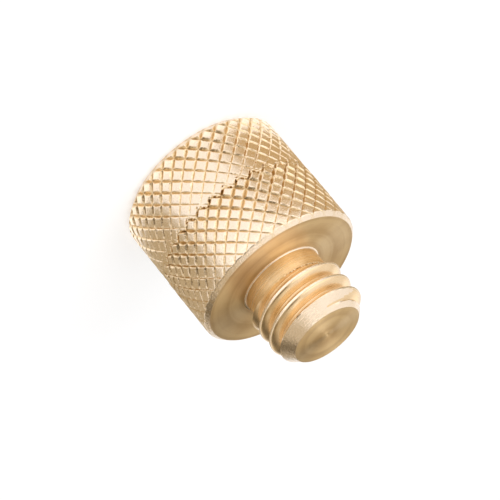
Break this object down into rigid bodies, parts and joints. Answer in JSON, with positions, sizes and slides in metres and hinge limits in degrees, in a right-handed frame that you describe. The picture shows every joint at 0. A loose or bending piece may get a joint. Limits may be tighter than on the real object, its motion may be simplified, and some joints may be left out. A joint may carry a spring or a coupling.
{
  "type": "tripod thread adapter",
  "caption": "Short knurled round brass grip, with a tapped hole in its open end and a coarse threaded stud on a relieved neck at the other, that joins two threads of different size.",
  "frame": {"origin": "centre of the grip's open end, where the tapped hole's axis meets the face that the part stands on", "axes": "+Z along the part's axis, from the open end towards the tip of the threaded stud; +X and +Y are free, since the part is round"},
  "size_m": [0.0166, 0.0166, 0.0207],
  "materials": {
    "brass": "turned and knurled, bare"
  },
  "bodies": {
    "root": {"thread_adapter": "brass"}
  },
  "joints": []
}
